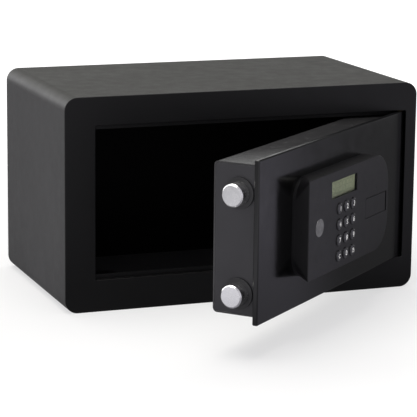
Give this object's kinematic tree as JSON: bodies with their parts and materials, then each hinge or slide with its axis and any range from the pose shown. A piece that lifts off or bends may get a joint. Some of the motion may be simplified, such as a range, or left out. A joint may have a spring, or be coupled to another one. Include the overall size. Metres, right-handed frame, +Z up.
{
  "type": "in-room safe",
  "caption": "Steel in-room safe with a rounded cabinet, a flush side-hung door with round locking bolts, and a raised keypad housing with a display and an override flap.",
  "frame": {"origin": "centre of the cabinet's footprint, on its underside", "axes": "+Z up, the front faces -Y, +X to the right seen from the front; the door rests open by 41.2 degrees"},
  "size_m": [0.35, 0.3986, 0.2],
  "materials": {
    "powder_coat": "dark grey fine-texture powder coat, satin",
    "dark_frame": "near-black satin powder coat",
    "bright_steel": "nickel-plated steel, polished",
    "zinc_steel": "zinc-plated steel, dull",
    "black_plastic": "moulded black nylon, satin",
    "housing_plastic": "moulded dark grey ABS, fine texture",
    "key_plastic": "glossy black caps with white printed symbols",
    "lens": "clear acrylic display window",
    "display": "unlit grey-green liquid crystal display",
    "badge": "plain brushed disc",
    "mat": "short black needle-felt",
    "circuit": "green solder mask with dark parts",
    "rubber": "dark silicone domes",
    "cell": "plain wrapped dry cells",
    "brass": "machined brass",
    "red_plastic": "red push button",
    "ribbon": "grey flat ribbon"
  },
  "bodies": {
    "cabinet": {"cabinet_shell": "powder_coat", "front_frame": "dark_frame", "back_plate": "powder_coat", "hinge_blocks": "zinc_steel", "hinge_washers": "brass", "door_stops": "powder_coat", "bolt_keeper": "zinc_steel", "floor_mat": "mat"},
    "door": {"door_plate": "dark_frame", "hinge_pins": "zinc_steel", "bolt_side_panel": "powder_coat", "hinge_side_panel": "powder_coat", "back_cover": "powder_coat", "cover_posts": "zinc_steel", "cover_screws": "zinc_steel", "bolt_bushes": "black_plastic", "guide_studs": "zinc_steel", "guide_clips": "bright_steel", "gearmotor": "zinc_steel", "motor_bracket": "zinc_steel", "small_screws": "zinc_steel", "control_board": "circuit", "board_standoffs": "brass", "battery_holder": "black_plastic", "batteries": "cell", "battery_contacts": "bright_steel", "lock_cylinder": "bright_steel", "override_switch": "black_plastic", "keypad_base": "housing_plastic", "keypad_housing": "housing_plastic", "housing_screws": "zinc_steel", "lcd_module": "display", "lcd_window": "lens", "keypad_board": "circuit", "dome_switches": "rubber", "badge_disc": "badge", "cable_harness": "ribbon"},
    "bolts": {"locking_bolts": "bright_steel", "bolt_carriage": "zinc_steel", "drive_rack": "zinc_steel", "bolt_screws": "zinc_steel"},
    "pinion": {"drive_pinion": "brass", "output_shaft": "bright_steel"},
    "lock_core": {"lock_plug": "brass", "lock_cam": "zinc_steel"},
    "override_flap": {"override_cover": "housing_plastic"},
    "battery_lid": {"battery_cover": "black_plastic"},
    "reset": {"reset_button": "red_plastic"},
    "key_1_body": {"key_1": "key_plastic"},
    "key_2_body": {"key_2": "key_plastic"},
    "key_3_body": {"key_3": "key_plastic"},
    "key_4_body": {"key_4": "key_plastic"},
    "key_5_body": {"key_5": "key_plastic"},
    "key_6_body": {"key_6": "key_plastic"},
    "key_7_body": {"key_7": "key_plastic"},
    "key_8_body": {"key_8": "key_plastic"},
    "key_9_body": {"key_9": "key_plastic"},
    "key_clear_body": {"key_clear": "key_plastic"},
    "key_0_body": {"key_0": "key_plastic"},
    "key_enter_body": {"key_enter": "key_plastic"}
  },
  "joints": [
    {"name": "door_swing", "type": "hinge", "parent": "cabinet", "child": "door", "pos_m": [0.1589, -0.0955, 0.1016], "axis": [0, 0, 1], "range_deg": [-41.2, 50.8]},
    {"name": "bolt_throw", "type": "slide", "parent": "door", "child": "bolts", "axis": [0.7524, 0.6587, 0], "range_m": [0, 0.014]},
    {"name": "pinion_spin", "type": "hinge", "parent": "door", "child": "pinion", "pos_m": [-0.0249, -0.23913, 0.10412], "axis": [-0.6587, 0.7524, 0], "range_deg": [-101, 0]},
    {"name": "override_flap_swing", "type": "hinge", "parent": "door", "child": "override_flap", "pos_m": [0.08189, -0.1891, 0.10025], "axis": [0, 0, -1], "range_deg": [0, 110]},
    {"name": "lock_turn", "type": "hinge", "parent": "door", "child": "lock_core", "pos_m": [0.08416, -0.16027, 0.1002], "axis": [-0.6587, 0.7524, 0], "range_deg": [0, 90]},
    {"name": "battery_lid_slide", "type": "slide", "parent": "door", "child": "battery_lid", "axis": [0.7524, 0.6587, 0], "range_m": [0, 0.06]},
    {"name": "reset_press", "type": "slide", "parent": "door", "child": "reset", "axis": [0.6587, -0.7524, 0], "range_m": [0, 0.0012]},
    {"name": "key_1_press", "type": "slide", "parent": "door", "child": "key_1_body", "axis": [-0.6587, 0.7524, 0], "range_m": [0, 0.001]},
    {"name": "key_2_press", "type": "slide", "parent": "door", "child": "key_2_body", "axis": [-0.6587, 0.7524, 0], "range_m": [0, 0.001]},
    {"name": "key_3_press", "type": "slide", "parent": "door", "child": "key_3_body", "axis": [-0.6587, 0.7524, 0], "range_m": [0, 0.001]},
    {"name": "key_4_press", "type": "slide", "parent": "door", "child": "key_4_body", "axis": [-0.6587, 0.7524, 0], "range_m": [0, 0.001]},
    {"name": "key_5_press", "type": "slide", "parent": "door", "child": "key_5_body", "axis": [-0.6587, 0.7524, 0], "range_m": [0, 0.001]},
    {"name": "key_6_press", "type": "slide", "parent": "door", "child": "key_6_body", "axis": [-0.6587, 0.7524, 0], "range_m": [0, 0.001]},
    {"name": "key_7_press", "type": "slide", "parent": "door", "child": "key_7_body", "axis": [-0.6587, 0.7524, 0], "range_m": [0, 0.001]},
    {"name": "key_8_press", "type": "slide", "parent": "door", "child": "key_8_body", "axis": [-0.6587, 0.7524, 0], "range_m": [0, 0.001]},
    {"name": "key_9_press", "type": "slide", "parent": "door", "child": "key_9_body", "axis": [-0.6587, 0.7524, 0], "range_m": [0, 0.001]},
    {"name": "key_clear_press", "type": "slide", "parent": "door", "child": "key_clear_body", "axis": [-0.6587, 0.7524, 0], "range_m": [0, 0.001]},
    {"name": "key_0_press", "type": "slide", "parent": "door", "child": "key_0_body", "axis": [-0.6587, 0.7524, 0], "range_m": [0, 0.001]},
    {"name": "key_enter_press", "type": "slide", "parent": "door", "child": "key_enter_body", "axis": [-0.6587, 0.7524, 0], "range_m": [0, 0.001]}
  ],
  "couplings": [
    {"joint": "pinion_spin", "follows": "bolt_throw", "rad_per_m": -125}
  ]
}
